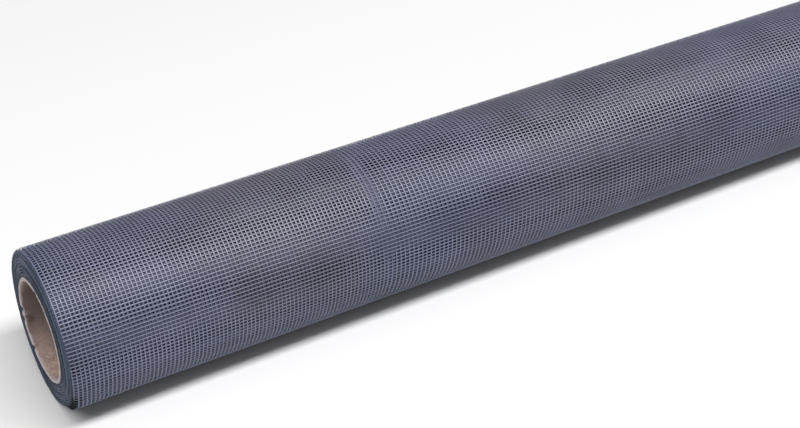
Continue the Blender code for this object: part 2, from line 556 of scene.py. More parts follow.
def waves(value, seed, count=5, low=1.0, high=7.0):
    """A smooth uneven value about 0: a sum of sines with drawn frequencies and starts."""
    draw = np.random.default_rng(seed)
    speeds = draw.uniform(low, high, count)
    starts = draw.uniform(0.0, 2 * np.pi, count)
    weights = draw.uniform(0.5, 1.0, count)
    total = sum(w * np.sin(value * s + p) for w, s, p in zip(weights, speeds, starts))
    return total / weights.sum()


def ripples(angles, seed, count=7, low=3, high=30):
    """The same round a circle, with whole numbers of waves, so that the ends meet."""
    draw = np.random.default_rng(seed)
    speeds = draw.integers(low, high, count)
    starts = draw.uniform(0.0, 2 * np.pi, count)
    return sum(np.sin(angles * s + p) for s, p in zip(speeds, starts)) / count


def bell(off, power=2):
    """1 where the offset is 0, and fading on both sides of it: e to the minus offset to the power."""
    return np.exp(-(np.abs(off) ** power))


def rise(off):
    """A soft step: 0 well below an offset of 0, a half there and 1 well above it."""
    return 1.0 / (1.0 + np.exp(-off))


def cloth_pitch():
    """The cloth's thickness as wound: the area of the wound ring, divided by the length of the cloth."""
    sizes = settings().roll
    bore = CORE_RADIUS + sizes.clearance
    return np.pi * (sizes.roll_radius**2 - bore**2) / sizes.cloth_length


def cloth_radius(back):
    """Radius of the cloth's outer face: an even spiral, with a soft belly before the free edge."""
    sizes = settings().roll
    spiral = sizes.roll_radius - sizes.belly_lift - cloth_pitch() * back / 360.0
    return spiral + sizes.belly_lift * bell((np.radians(back) - sizes.belly_back) / sizes.belly_spread)


def turns_in_all():
    """Number of turns from the free edge to the core."""
    sizes = settings().roll
    return (sizes.roll_radius - sizes.belly_lift - CORE_RADIUS - sizes.clearance) / cloth_pitch()


def share_inwards(back):
    """0 at the free edge and 1 at the core."""
    return back / (360.0 * turns_in_all())


def angle_round(back):
    """The angle round the roll, in radians, of a place on the cloth."""
    return settings().roll.free_edge_angle - np.radians(back)


def angle_off(angle, middle):
    """How far an angle is from another, the short way round, in radians."""
    return (angle - middle + np.pi) % (2 * np.pi) - np.pi


def from_near_end(along):
    return along + settings().roll.cloth_width / 2


def degrees_off(angle, degrees):
    """How far an angle in radians is from one in degrees, the short way round, in degrees."""
    return np.degrees(angle_off(angle, np.radians(degrees)))


def near_end_form(along, back):
    """What the near end adds to the radius, all of it fading inwards along the roll.

    The outermost turn has a narrow ridge near its corner. The turns are pressed in beside it by a
    trough with one steep side, which fades towards the core, and the outer few have a rounded rim.
    """
    near = settings().near
    inward = np.maximum(from_near_end(along), 0.0)
    share = share_inwards(back)
    fading = bell(inward / near.reach)
    ridge = near.ridge * bell((np.radians(back) - near.ridge_back) / near.ridge_spread) * fading
    off = angle_off(angle_round(back), near.dent_angle)
    off = off / np.where(off < 0.0, near.dent_side, near.dent_spread)
    dent = near.dent_depth * (1.0 - share) * bell(off) * fading
    rounded = near.rim_round * bell(inward / near.rim_reach) * np.clip(1.0 - share / ROUNDED_SHARE, 0.0, 1.0)
    return ridge - dent - rounded


def wound_points(along, back, depth):
    """Places on the wound cloth: along the roll, back from the free edge and below the outer face.

    Each point lies at the cloth's radius less the depth, at its angle. The lowest points are
    pressed up to the flat, which fades out towards the core.
    """
    along, back, depth = np.broadcast_arrays(along, back, depth)
    radius = cloth_radius(back) - depth + near_end_form(along, back)
    angle = angle_round(back)
    pressed = settings().roll.flat_depth * (1.0 - share_inwards(back))
    height = np.maximum(radius * np.sin(angle), pressed - radius)
    height = np.maximum(height + AXIS_HEIGHT, 0.0)
    return np.stack((along, radius * np.cos(angle), height), axis=-1)


def end_reach(back, side):
    """How far the cloth reaches beyond half its width at one end: its group's step, and the lean."""
    sizes = settings().roll
    share = share_inwards(back)
    key = "near" if side < 0 else "far"
    starts = [group["starts"] for group in TURN_GROUPS]
    ends = [start - STEP_SHARE for start in starts[1:]] + [1.0]
    places = np.ravel(list(zip(starts, ends)))
    reaches = np.repeat([group[key] for group in TURN_GROUPS], 2)
    lean = sizes.end_lean * np.cos(angle_round(back) - sizes.end_lean_angle)
    return np.interp(share, places, reaches) + lean * (1.0 - share)


def warp_along(shares, back):
    """Places along the roll of warp yarns, at shares from -1 (near edge) to 1 (far edge) of the width."""
    half = settings().roll.cloth_width / 2 - settings().weave.cut_length
    reach = np.where(shares < 0, end_reach(back, -1), end_reach(back, 1))
    return shares * (half + reach)


def warp_shares():
    """Shares of the width for all the warp yarns: closer together before the band than past it."""
    weave = settings().weave
    close = np.arange(0.0, settings().band.place, weave.warp_pitch)
    wide = np.arange(close[-1] + weave.wide_pitch, settings().roll.cloth_width, weave.wide_pitch)
    places = np.concatenate((close, wide))
    return 2.0 * places / places[-1] - 1.0


def warp_pitch_at(along):
    weave = settings().weave
    return np.where(from_near_end(along) < settings().band.place, weave.warp_pitch, weave.wide_pitch)


def weft_backs(first_turn, last_turn):
    """Where weft yarns lie, in degrees back from the free edge: a pitch apart along the cloth.

    By the free edge they have worked loose, so they lie a little further apart.
    """
    weave = settings().weave
    back = np.linspace(0.0, 360.0 * turns_in_all(), CLOTH_SAMPLES)
    radius = cloth_radius(back)
    loose = 1.0 + weave.loose_share * bell(np.radians(back) / weave.loose_back)
    steps = np.radians(np.diff(back)) * (radius[1:] + radius[:-1]) / 2 / loose[1:]
    length = np.concatenate(([0.0], np.cumsum(steps)))
    places = np.interp(np.arange(0.5 * weave.weft_pitch, length[-1], weave.weft_pitch), length, back)
    return places[(places >= 360.0 * first_turn) & (places < 360.0 * last_turn)]


def band_share(along):
    """1 in the faint band and 0 away from it, with soft edges."""
    band = settings().band
    return bell((from_near_end(along) - band.place) / band.half_width, 4)


def past_band(along):
    """0 before the faint band and 1 past it."""
    return rise((from_near_end(along) - settings().band.place) / BAND_FADE)


def yarn_widths(along):
    weave = settings().weave
    return weave.yarn_width * (1.0 + settings().band.widening * band_share(along))


def corner_shade_share(along, back):
    """1 in the painted shade under the loose corner, in the outer few turns, and 0 away from it."""
    near = settings().near
    off = angle_off(angle_round(back), near.corner_shade_angle) / near.corner_shade_spread
    inward = np.maximum(from_near_end(along), 0.0) / near.corner_shade_reach
    return bell(off, 4) * bell(inward) * bell(share_inwards(back) / CORNER_SHADE_SHARE, 4)


def facing(back):
    """Degrees above the middle of the side in view, from -180 to 180."""
    return np.degrees(angle_off(settings().slip.facing_angle, angle_round(back)))


def patch(name, back):
    """1 in a patch of the side in view and 0 away from it."""
    each = PATCHES[name]
    return bell((facing(back) - each["middle"]) / each["half"], each["power"])


def above(name, back):
    """0 below an edge on the side in view and 1 above it."""
    each = EDGES[name]
    return rise((facing(back) - each["place"]) / each["fade"])


def warp_low(back):
    """1 on the lower half of the side in view, where the warp yarns lie below the weft yarns."""
    weave = settings().weave
    return bell((np.radians(back) - weave.sink_back) / weave.sink_spread)


def weft_low(back):
    """1 by the free edge, where the weft yarns are slack and dull, and 0 past it."""
    return rise((np.degrees(settings().weave.over_back) - back) / SLACK_FADE)


def yarn_tones(along, back, drawn, tones):
    """Tone of each point of the outermost turn: its yarn's own, and the steps of each part it lies in,
    most of them painted light and shade.
    """
    past = past_band(along)
    rim = bell(np.maximum(from_near_end(along), 0.0) / settings().near.dark_reach)
    parts = {
        "sunk": warp_low(back),
        "band": band_share(along),
        "corner_shade": corner_shade_share(along, back),
        # Painted shade by the near rim, deepest round the rim shade's angle
        "rim": rim * (1.0 + bell(degrees_off(angle_round(back), RIM_SHADE["angle"]) / RIM_SHADE["half"])),
        "upper past band": past * above("upper", back),
        "slack past band": past * weft_low(back),
    }
    for name in ("low", "middle", "upper", "high"):
        parts[name] = patch(name, back)
    return drawn + sum(step * parts[name] for name, step in tones.items())


def below_shades(along, back):
    """The same for the turns under it, all painted light and shade: paler in the band, and dark well above
    the middle of the side in view.

    By the free edge they are paler before the band and darker past it. Above the middle they are
    darker where they lie across the holes.
    """
    past = past_band(along)
    slack = weft_low(back % 360.0)
    upper_off = facing(back) - BELOW_UPPER_SHADE["middle"] - BELOW_UPPER_SHADE["middle_past"] * past
    parts = {
        "slack": slack,
        "slack past band": slack * past,
        "lowest": 1.0 - above("lowest", back),
        "upper": bell(upper_off / (BELOW_UPPER_SHADE["half"] + BELOW_UPPER_SHADE["half_past"] * past), 4),
        "across": np.sin(np.pi * round_bands(along, back)) ** 2 * above("middle", back),
    }
    band = band_share(along)
    steps = sum(step * parts[name] for name, step in BELOW_SHADES.items())
    return BELOW_BAND_LIGHT * band + steps * (1.0 - band)


def yarn_teals(along, back):
    """How green the yarns are: most low on the side in view, in a few stretches, and by the near rim."""
    near = np.maximum(from_near_end(along), 0.0)
    stretches = sum(bell((near - place) / TEAL_STRETCHES["half"]) for place in TEAL_STRETCHES["places"])
    low = TEAL_BELOW["teal"] + TEAL_STRETCHES["teal"] * stretches
    low = low * rise((TEAL_BELOW["back"] - back) / TEAL_BELOW["fade"])
    return np.maximum(low, TEAL_RIM["teal"] * bell(near / TEAL_RIM["reach"]))


def yarn_matts(along, back):
    """How far the coating has lost its gloss: partly in the band and by the free edge, fully under the loose
    corner.
    """
    return np.maximum(DULL_SHARE * np.maximum(band_share(along), weft_low(back)), corner_shade_share(along, back))


def yarn_greys(along, back):
    """How grey the coating is: soft peaks over the greyer stretches of the roll, none by the free edge."""
    near = from_near_end(along)
    peaks = [bell((near - each["place"]) / each["width"], 4) for each in GREY_STRETCHES]
    return np.max(peaks, axis=0) * (1.0 - weft_low(back % 360.0))


def across_yarns(values, shape):
    """Values for the places along the yarns, repeated for the points across each yarn."""
    return {key: np.broadcast_to(value[..., None], shape).ravel() for key, value in values.items()}


def outer_values(along, back, drawn, tones, shape):
    """Tone with painted light and shade, teal, grey and dullness for each point of the outermost turn."""
    values = {
        "yarn_tone_and_shade": yarn_tones(along, back, drawn, tones),
        "yarn_teal": yarn_teals(along, back),
        "yarn_grey": yarn_greys(along, back),
        "yarn_matt": yarn_matts(along, back),
    }
    return across_yarns(values, shape)


def below_values(along, back, shape):
    """Painted light and shade, and grey, for each point of a turn under it."""
    return across_yarns({"yarn_tone_and_shade": below_shades(along, back), "yarn_grey": yarn_greys(along, back)}, shape)


def round_bands(along, back):
    """A count round the roll: whole where the turns below show clear holes, a half where they fill them."""
    slip = settings().slip
    near = from_near_end(along)
    bands = np.degrees(slip.band_angle) - np.degrees(slip.band_slope) * (near - BAND_ORIGIN) - facing(back)
    bands = bands - np.degrees(slip.band_step) * past_band(along)
    lifted = rise((near - BAND_LIFT_FROM) / BAND_LIFT_FADE) * above("lift", back)
    return (bands + np.degrees(slip.band_lift) * lifted) / np.degrees(slip.band_spacing)


def slips(along, back):
    """How far a turn's yarns lie off those of the turn above, in pitches: along the roll, then round it.

    Round the roll the offset grows evenly, so that it is a whole number on each band. Along the
    roll it is uneven, and largest below the middle and by the upper rim. Both make up for how far
    a turn that lies deeper looks shifted from the place of the stage's camera, and they fade to
    nothing on the side that it doesn't see. In the faint band both offsets are half a pitch, so
    that the yarns below lie across the holes.
    """
    view = facing(back)
    slant = np.radians(np.clip(view, -STEEPEST_VIEW, STEEPEST_VIEW))
    seen = rise((LAST_IN_VIEW - np.abs(view)) / VIEW_FADE)
    shift_round = cloth_pitch() / settings().weave.weft_pitch * np.tan(slant)
    round_slip = (round_bands(along, back) + shift_round) * seen

    eye = settings().stage.camera_place
    away = np.hypot(eye[1], eye[2] - AXIS_HEIGHT) * np.cos(slant) - settings().roll.roll_radius
    shift_along = cloth_pitch() / warp_pitch_at(along) * (along - eye[0]) / away
    line = view - SLIP_LINE["start"] - SLIP_LINE["climb"] * from_near_end(along)
    wave = np.sin(along * SLIP_WAVE["speed"] + view / SLIP_WAVE["lean"])
    uneven = SLIP_LINE["slip"] * bell(line / SLIP_LINE["half"]) + SLIP_WAVE["slip"] * wave
    uneven = uneven + (SLIP_LOW["slip"] - uneven) * SLIP_LOW["share"] * patch("low slip", back)
    along_slip = (shift_along + uneven + SLIP_RIM * above("rim", back)) * seen

    band = band_share(along)
    round_slip = round_slip + (np.floor(round_slip) + 0.5 - round_slip) * band
    return along_slip + (0.5 - along_slip) * band, round_slip


def slant_cut(along):
    """Degrees back from the free edge where the cloth starts: its corner is cut away, less so inwards."""
    near = settings().near
    inward = np.maximum(from_near_end(along), 0.0) / near.reach
    return np.degrees(near.slant_cut) * np.exp(-inward)


def woven_warp(name, numbers, material):
    """Warp yarns of the outermost turn: each is a roof of three points carried round the roll.

    It rises and falls by the crimp from one crossing to the next. Its two edges lie half a yarn
    to the sides and lower by the drop.
    """
    weave = settings().weave
    draw = np.random.default_rng(11)
    backs = np.concatenate(([0.0], weft_backs(0, 1), [360.0]))
    number, step = np.meshgrid(numbers, np.arange(len(backs)), indexing="ij")
    shares = warp_shares()[number]
    cut = slant_cut(warp_along(shares[:, :1], 0.0)) + draw.uniform(0.0, RAGGED_CUT, (len(numbers), 1))
    back = np.maximum(backs, cut + backs * CUT_SQUEEZE)
    along = warp_along(shares, back)
    high = np.where((number + step) % 2 == 0, 0.0, 2.0 * weave.crimp) + weave.sink * warp_low(back)
    widths = yarn_widths(along) * (1.0 + SLACK_WIDENING * weft_low(back))
    across = np.array(WARP_SECTION["across"]) * widths[..., None]
    lower = np.array(WARP_SECTION["drop"]) * weave.warp_drop
    points = wound_points(along[..., None] + across, back[..., None], high[..., None] + lower)
    strips = np.arange(len(numbers))[:, None, None] + np.array(WARP_SECTION["map"])
    maps = [grid_maps(strips / len(numbers), (step / (len(backs) - 1.0))[..., None])[:, ::-1]]
    faces = [grid_faces(point_numbers(points.shape[:3]))[:, ::-1]]
    drawn = draw.normal(0.0, DRAWN_TONES, len(numbers))[:, None]
    values = outer_values(along, back, drawn, WARP_TONES_AND_SHADES, points.shape[:3])
    return new_piece(name, points.reshape(-1, 3), faces, material, maps=maps, values=values)


def woven_weft(name, first, last, material):
    """Weft yarns of the outermost turn: a round-backed strip of four points, carried along the roll.

    It is low where a warp yarn is high. A yarn that the slanting cut crosses starts where the cut
    crosses it.
    """
    weave = settings().weave
    near = settings().near
    roll = settings().roll
    draw = np.random.default_rng(12)
    backs = weft_backs(0, 1)
    step, number = np.meshgrid(np.arange(first, last), np.arange(len(backs)))
    crossed = np.maximum(np.log(np.degrees(near.slant_cut) / backs), 0.0) * near.reach
    starts = 2.0 * crossed / roll.cloth_width - 1.0
    shares = np.maximum(warp_shares()[step], starts[:, None] + 1e-6 * step)
    wander = [each["degrees"] * waves(shares * each["speed"], each["seed"]) for each in WEFT_WANDER]
    back = backs[:, None] + sum(wander)
    along = warp_along(shares, back)
    if first == 0:
        along[:, 0] -= draw.uniform(SHORTEST_TIP, 1.0, len(backs)) * weave.cut_length
    if last == len(warp_shares()):
        along[:, -1] += draw.uniform(SHORTEST_TIP, 1.0, len(backs)) * weave.cut_length
    high = np.where((number + step) % 2 == 1, 0.0, 2.0 * weave.crimp)
    across = np.array(WEFT_SECTION["across"]) * np.degrees(yarn_widths(along) / roll.roll_radius)[..., None]
    lower = np.array(WEFT_SECTION["drop"]) * weave.weft_drop
    points = wound_points(along[..., None], back[..., None] + across, high[..., None] + lower)
    strips = number[..., None] + np.array(WEFT_SECTION["map"])
    maps = [grid_maps(strips / len(backs), ((step - first) / (last - first - 1.0))[..., None])]
    faces = [grid_faces(point_numbers(points.shape[:3]))]
    drawn = draw.normal(0.0, DRAWN_TONES, len(backs))[:, None]
    values = outer_values(along, back, drawn, WEFT_TONES_AND_SHADES, points.shape[:3])
    return new_piece(name, points.reshape(-1, 3), faces, material, maps=maps, values=values)


def warp_below(turn):
    """Warp ribbons of a turn under the outermost: points, faces, maps and values."""
    weave = settings().weave
    count = len(warp_shares())
    steps = np.linspace(360.0 * turn, 360.0 * (turn + 1), weave.round_steps + 1)
    number, back = np.meshgrid(np.arange(count), steps, indexing="ij")
    shares = warp_shares()[number]
    along = warp_along(shares, back)
    inside = np.clip((1.0 - np.abs(shares)) / WARP_FIXED_SHARE, 0.0, 1.0)
    along = along + turn * slips(along, back)[0] * warp_pitch_at(along) * inside
    across = FLAT_SECTION * weave.yarn_width * (1.0 + weave.under_widening)
    points = wound_points(along[..., None] + across, back[..., None], weave.crimp)
    faces = grid_faces(point_numbers(points.shape[:3]))[:, ::-1]
    strips = (number[..., None] + FLAT_MAP) / count / 2
    maps = grid_maps(strips, (back / 360.0 - turn)[..., None])[:, ::-1]
    return points.reshape(-1, 3), faces, maps, below_values(along, back, points.shape[:3])


def weft_below(turn):
    """The same for its weft ribbons, whose slip depends on where they come to lie."""
    weave = settings().weave
    roll = settings().roll
    band = settings().band
    edges = 2.0 * (band.place + band.half_width * BAND_EDGES) / roll.cloth_width - 1.0
    shares = np.sort(np.concatenate((np.linspace(-1.0, 1.0, BELOW_WEFT_POINTS), edges)))
    start, share = np.meshgrid(weft_backs(0, 1) + 360.0 * turn, shares, indexing="ij")
    along = warp_along(share, start)
    along = along + np.sign(share) * (np.abs(share) == 1.0) * weave.cut_length * BELOW_TIP
    back = start
    for _ in range(SLIP_ROUNDS):
        back = start + turn * slips(along, back)[1] * np.degrees(weave.weft_pitch / roll.roll_radius)
    width = weave.yarn_width * (1.0 + weave.under_widening)
    across = FLAT_SECTION * np.degrees(width / roll.roll_radius)
    points = wound_points(along[..., None], back[..., None] + across, weave.crimp * BELOW_WEFT_CRIMPS)
    faces = grid_faces(point_numbers(points.shape[:3]))
    strips = 0.5 + (np.arange(len(start))[:, None, None] + FLAT_MAP) / len(start) / 2
    maps = grid_maps(strips, ((share + 1.0) / 2)[..., None])
    return points.reshape(-1, 3), faces, maps, below_values(along, back, points.shape[:3])


def under_turn(turn, material):
    """One open turn under the outermost: flat warp and weft ribbons, slipped against the turn above."""
    warp, warp_faces, warp_map, warp_values = warp_below(turn)
    weft, weft_faces, weft_map, weft_values = weft_below(turn)
    points = np.concatenate((warp, weft))
    faces = [warp_faces, weft_faces + len(warp)]
    values = {key: np.concatenate((warp_values[key], weft_values[key])) for key in warp_values}
    return new_piece(f"turn_under_{turn}", points, faces, material, maps=[warp_map, weft_map], values=values)


def wound_slab(name, backs, near, far, depths, material):
    """A closed slab wound along the backs: a section of four points, with a face at each of its ends."""
    along = np.stack((near, far, far, near), axis=-1)
    points = wound_points(along, backs[:, None], np.repeat(depths, 2))
    sides = grid_faces(closed(point_numbers(points.shape[:2])))[:, ::-1]
    caps = np.array([[0, 1, 2, 3], [3, 2, 1, 0]]) + np.array([[0], [4 * (len(backs) - 1)]])
    return new_piece(name, points.reshape(-1, 3), [sides, caps], material, smooth=False)


def inner_turns(material):
    """The turns that no one sees through, as one thin spiral slab."""
    half = settings().roll.cloth_width / 2
    weave = settings().weave
    first = weave.under_turns + 1
    last = turns_in_all()
    backs = np.linspace(360.0 * first, 360.0 * last, int((last - first) * SLAB_STEPS))
    inset = weave.cut_length * SLAB_INSET
    near = inset - half - end_reach(backs, -1)
    far = half + end_reach(backs, 1) - inset
    return wound_slab("inner_turns", backs, near, far, SLAB_DEPTHS * weave.yarn_height, material)


def corner_shade_sheet(material):
    """A near-black sheet under the loose corner, which closes the gap below the outermost turn: painted
    shade.
    """
    near = settings().near
    half = settings().roll.cloth_width / 2
    middle = settings().roll.free_edge_angle - near.corner_shade_angle
    backs = np.degrees(middle + near.corner_shade_spread * np.linspace(-SHADE_SHEET_HALF, SHADE_SHEET_HALF, SHADE_SHEET_POINTS))
    start = SHADE_SHEET_START - half - end_reach(backs, -1)
    end = start + SHADE_SHEET_LENGTH * near.corner_shade_reach
    return wound_slab("corner_shade_sheet", backs, start, end, SHADE_SHEET_DEPTHS, material)


def painted_highlight_arcs(back):
    """Pale arcs in an end, painted highlights on the turns' edges: a wave over every few turns, strong at
    the arcs' places and faint elsewhere.
    """
    turn = back / 360.0
    angle = angle_round(back)
    wave = np.sin(2 * np.pi * turn / ARC_TURNS + ARC_SWAY * np.sin(angle * 2.0 + 1.0))
    arcs = ARC_TONE["middle"] + ARC_TONE["height"] * wave
    arcs = arcs + ARC_TONE["turns"] * waves(turn, 44) + ARC_TONE["round"] * waves(angle, 45, high=14.0)
    strength = np.full_like(angle, FAINT_ARCS)
    for place in ARC_PLACES:
        peak = place["strength"] * bell(degrees_off(angle, place["angle"]) / place["width"])
        strength = np.maximum(strength, peak)
    return np.clip(arcs, 0.0, 1.0) * strength


def teal_tint(back):
    """Teal tint in an end: soft peaks by share of the way in, strongest on one side of the end."""
    share = share_inwards(back)
    angle = angle_round(back)
    side = bell(degrees_off(angle, TEAL_SIDE["angle"]) / TEAL_SIDE["half"])
    total = np.zeros_like(share)
    for number, turn in enumerate(TEAL_TURNS):
        peak = bell((share - turn["share"]) / turn["width"])
        clouds = TEAL_CLOUDS["middle"] + TEAL_CLOUDS["height"] * waves(angle, 41 + number)
        total += peak * turn["strength"] * clouds
    elsewhere = TEAL_SIDE["elsewhere"]
    return np.clip(total * (elsewhere + (1.0 - elsewhere) * side), 0.0, 1.0)


def end_values(back, reach, glass):
    """Pale arcs as painted highlights, teal tint, bare glass and the painted shade under the loose corner
    for each point of the rod or the tips.

    The glass is given for the points of one section or one tip, and the others go by its place.
    """
    return {
        # The pale arcs are painted highlights on the turns' edges
        "pale": np.repeat(painted_highlight_arcs(back), len(glass)),
        "teal": np.repeat(teal_tint(back), len(glass)),
        "glass": np.tile(glass, len(back)),
        "corner_shade": np.repeat(corner_shade_share(reach, back), len(glass)),
    }


def end_rod(side):
    """The last warp yarn of every turn, as one spiral rod with a diamond section."""
    weave = settings().weave
    rows = int((turns_in_all() - 1.0) * ROD_STEPS)
    back = 360.0 + np.arange(rows) * 360.0 / ROD_STEPS
    uneven = ROD_UNEVEN["length"] * waves(back / ROD_UNEVEN["degrees"], 31, low=0.3, high=4.0)
    reach = settings().roll.cloth_width / 2 + end_reach(back, side) + uneven
    middle = (reach - weave.cut_length * ROD_INSET)[:, None]
    along = middle + np.array([1.0, 0.0, -1.0, 0.0]) * weave.yarn_width / 2
    deep = np.array([1.0, 0.0, 1.0, 2.0]) * weave.yarn_height * END_DEPTH
    points = wound_points(side * along, back[:, None], deep[None, :])
    faces = grid_faces(closed(point_numbers(points.shape[:2])))
    row, column = np.meshgrid(np.arange(rows - 1), np.arange(4), indexing="ij")
    across = ((row % ROD_STEPS)[..., None] + np.array([0, 1, 1, 0])) / ROD_STEPS
    strip = (row // ROD_STEPS)[..., None] + (column[..., None] + np.array([0, 0, 1, 1])) * ROD_MAP_SIDE
    maps = np.stack((across, strip * ROD_MAP_SHARE / turns_in_all()), axis=-1).reshape(-1, 4, 2)
    return points.reshape(-1, 3), faces, maps, end_values(back, side * reach, np.zeros(4))


def tip_cells(count):
    """Bake maps of the tips' sides and caps: each tip has its own cell above the rod's share of the map."""
    rows = -(-count // TIP_MAP_COLUMNS)
    number = np.arange(count)
    corner = np.stack((number % TIP_MAP_COLUMNS, number // TIP_MAP_COLUMNS), axis=-1)[:, None, None, :]
    column = (np.arange(3)[:, None] + np.array([1, 1, 0, 0])) * TIP_MAP_SIDE["width"]
    height = np.broadcast_to(np.array([0, 1, 1, 0]) * TIP_MAP_SIDE["height"], column.shape)
    size = np.array([1.0 / TIP_MAP_COLUMNS, (1.0 - ROD_MAP_SHARE - MAP_ROOM) / rows])
    offset = np.array([0.0, ROD_MAP_SHARE + MAP_ROOM])
    side_maps = (corner + np.stack((column, height), axis=-1)) * size + offset
    return side_maps.reshape(-1, 4, 2), (corner[:, 0] + TIP_MAP_CAP) * size + offset


def end_tips(side):
    """The cut weft tips between the turns: each is a rod of three sides that narrows to its cut."""
    weave = settings().weave
    draw = np.random.default_rng(21 if side < 0 else 22)
    tips = weft_backs(1, turns_in_all())
    count = len(tips)
    reach = settings().roll.cloth_width / 2 + end_reach(tips, side)
    start = reach - weave.cut_length * TIPS["start"]
    end = reach + draw.uniform(*TIPS["ends"], count) * weave.cut_length
    half_angle = np.degrees(weave.yarn_width * TIPS["width"] / cloth_radius(tips))[:, None, None]
    narrow = np.array([1.0, TIPS["at_cut"]])[None, :, None]
    lean = draw.uniform(-TIPS["lean"], TIPS["lean"], count)[:, None, None]
    lean = lean * np.array([0.0, 1.0])[None, :, None]
    back = tips[:, None, None] + half_angle * np.array([-1.0, 1.0, 0.0]) * narrow + lean
    deep = (END_DEPTH + np.array([1.0, 1.0, -1.0]) * TIPS["height"] * narrow) * weave.yarn_height
    points = wound_points(side * np.stack((start, end), axis=1)[:, :, None], back, deep)
    numbers = point_numbers(points.shape[:3])
    faces = [grid_faces(closed(numbers))[:, ::-1], numbers[:, 1, :]]
    values = end_values(tips, side * reach, [0, 0, 0, 1, 1, 1])
    return points.reshape(-1, 3), faces, list(tip_cells(count)), values


def cut_end(side, material):
    """One end of the roll: the spiral rod and the cut tips, their faces turned round for the near end."""
    rod, rod_faces, rod_maps, rod_values = end_rod(side)
    tip, tip_faces, tip_maps, tip_values = end_tips(side)
    faces = [rod_faces] + [each + len(rod) for each in tip_faces]
    maps = [rod_maps] + tip_maps
    if side < 0:
        faces = [each[:, ::-1] for each in faces]
        maps = [each[:, ::-1] for each in maps]
    values = {key: np.concatenate((rod_values[key], tip_values[key])) for key in rod_values}
    name = "cut_end_near" if side < 0 else "cut_end_far"
    points = np.concatenate((rod, tip))
    return new_piece(name, points, faces, material, smooth=False, maps=maps, values=values)


def core_outline():
    """The core's section as places along and radii: the bore from the far end, the near rim, the outside."""
    core = settings().core
    bore = CORE_RADIUS - core.wall
    half = CORE_HALF - core.rim_round
    stations = np.concatenate((BORE_PLACES, BORE_MIDDLE, -BORE_PLACES[::-1])) * half
    bore_side = np.stack((stations, np.full_like(stations, bore)), axis=-1)
    rim_radii = (bore + core.rim_round, bore + core.wall / 2, CORE_RADIUS - core.rim_round)
    rim = np.array([[1.0, radius] for radius in rim_radii])
    near_rim = rim * np.array([-CORE_HALF, 1.0])
    far_rim = rim[::-1] * np.array([CORE_HALF, 1.0])
    outside = np.array([[x * half, CORE_RADIUS] for x in OUTSIDE_PLACES])
    return np.concatenate((bore_side, near_rim, outside, far_rim))


def core_nicks(angles):
    """How deep the near rim is nicked, round the core."""
    nicks = np.zeros(len(angles))
    for nick in RIM_NICKS:
        nicks += nick["depth"] * bell(degrees_off(angles, nick["angle"]) / nick["width"])
    return nicks


def core_values(outline, angles, at_rim, flake):
    """How far each point of the core is torn pale, dark in a nick or the tear, and in painted shade inside
    the bore.
    """
    core = settings().core
    near_side = outline[:, :1] < 0
    depth_in = np.abs(outline[:, :1]) - CORE_HALF
    least = FRAYING["least"]
    share = least + (1.0 - least) * np.cos(angles - np.radians(FRAYING["angle"])) ** 2
    frayed = core.frayed * (share + FRAYING["uneven"] * ripples(angles, 53))
    rim = np.clip(1.0 + (depth_in + core.rim_round) / np.maximum(frayed, LEAST_FRAYED), 0.0, 1.0)
    nick = core_nicks(angles) / max(each["depth"] for each in RIM_NICKS) * at_rim * NICK_DARKNESS
    torn = bell(angle_off(angles, core.torn_angle) / core.torn_spread)
    torn = torn * bell((depth_in + core.torn_depth) / core.nick_reach)
    # Painted shade inside the bore by its near end, darkest round its angle
    bore_shade = bell(depth_in / BORE_SHADE["reach"]) * bell(degrees_off(angles, BORE_SHADE["angle"]) / BORE_SHADE["half"], 3)
    return {
        "rim": np.maximum(rim, flake),
        "nick": np.maximum(nick, TEAR_DARKNESS * torn * near_side),
        "bore_shade": bore_shade * near_side,
    }


def paper_core(material):
    """The core's section carried round the axis, its near rim torn, dented and a little askew."""
    core = settings().core
    outline = core_outline()
    angles = 2 * np.pi * np.arange(core.sides) / core.sides
    along = np.repeat(outline[:, :1], core.sides, axis=1)
    radius = np.repeat(outline[:, 1:], core.sides, axis=1)
    by_rim = bell((along + CORE_HALF) / core.rim_reach)
    at_rim = bell((along + CORE_HALF) / core.nick_reach)
    askew = core.askew * (0.5 + 0.5 * np.cos(angles - core.askew_angle))
    flake = at_rim * bell(angle_off(angles, core.flake_angle) / core.flake_spread)
    flake = flake * (radius < CORE_RADIUS - core.wall / 2)
    along = along + by_rim * (askew + core.fuzz * ripples(angles, 51)) + at_rim * core_nicks(angles)
    radius = radius + by_rim * core.fuzz * ripples(angles, 52, low=2, high=12) - core.flake_lift * flake
    points = np.stack((along, radius * np.cos(angles), AXIS_HEIGHT + radius * np.sin(angles)), axis=-1)
    numbers = point_numbers(along.shape)
    faces = grid_faces(closed(np.concatenate((numbers, numbers[:1]), axis=0)))[:, ::-1]
    steps = np.linalg.norm(np.diff(outline, axis=0, append=outline[:1]), axis=1) + CORE_MAP_ROOM
    length = np.concatenate(([0.0], np.cumsum(steps))) / steps.sum()
    maps = grid_maps((np.arange(core.sides + 1) / core.sides)[None, :], length[:, None])[:, ::-1]
    values = core_values(outline, angles, at_rim, flake)
    piece = new_piece("paper_core", points.reshape(-1, 3), [faces], material, maps=[maps], values=values)
    piece.data.set_sharp_from_angle(angle=np.radians(SHARP_FROM))
    return piece


def shader_of(name):
    material = bpy.data.materials.new(name)
    material.use_nodes = True
    return material, material.node_tree, material.node_tree.nodes["Principled BSDF"]


def scaled(color, factor):
    return tuple(min(1.0, c * factor) for c in color)


def add_math(tree, operation, first, second=None, third=None):
    """A Math node on sockets or plain numbers, and its output."""
    node = tree.nodes.new("ShaderNodeMath")
    node.operation = operation
    for value, socket in zip((first, second, third), node.inputs):
        if isinstance(value, bpy.types.NodeSocket):
            tree.links.new(value, socket)
        elif value is not None:
            socket.default_value = value
    return node.outputs[0]


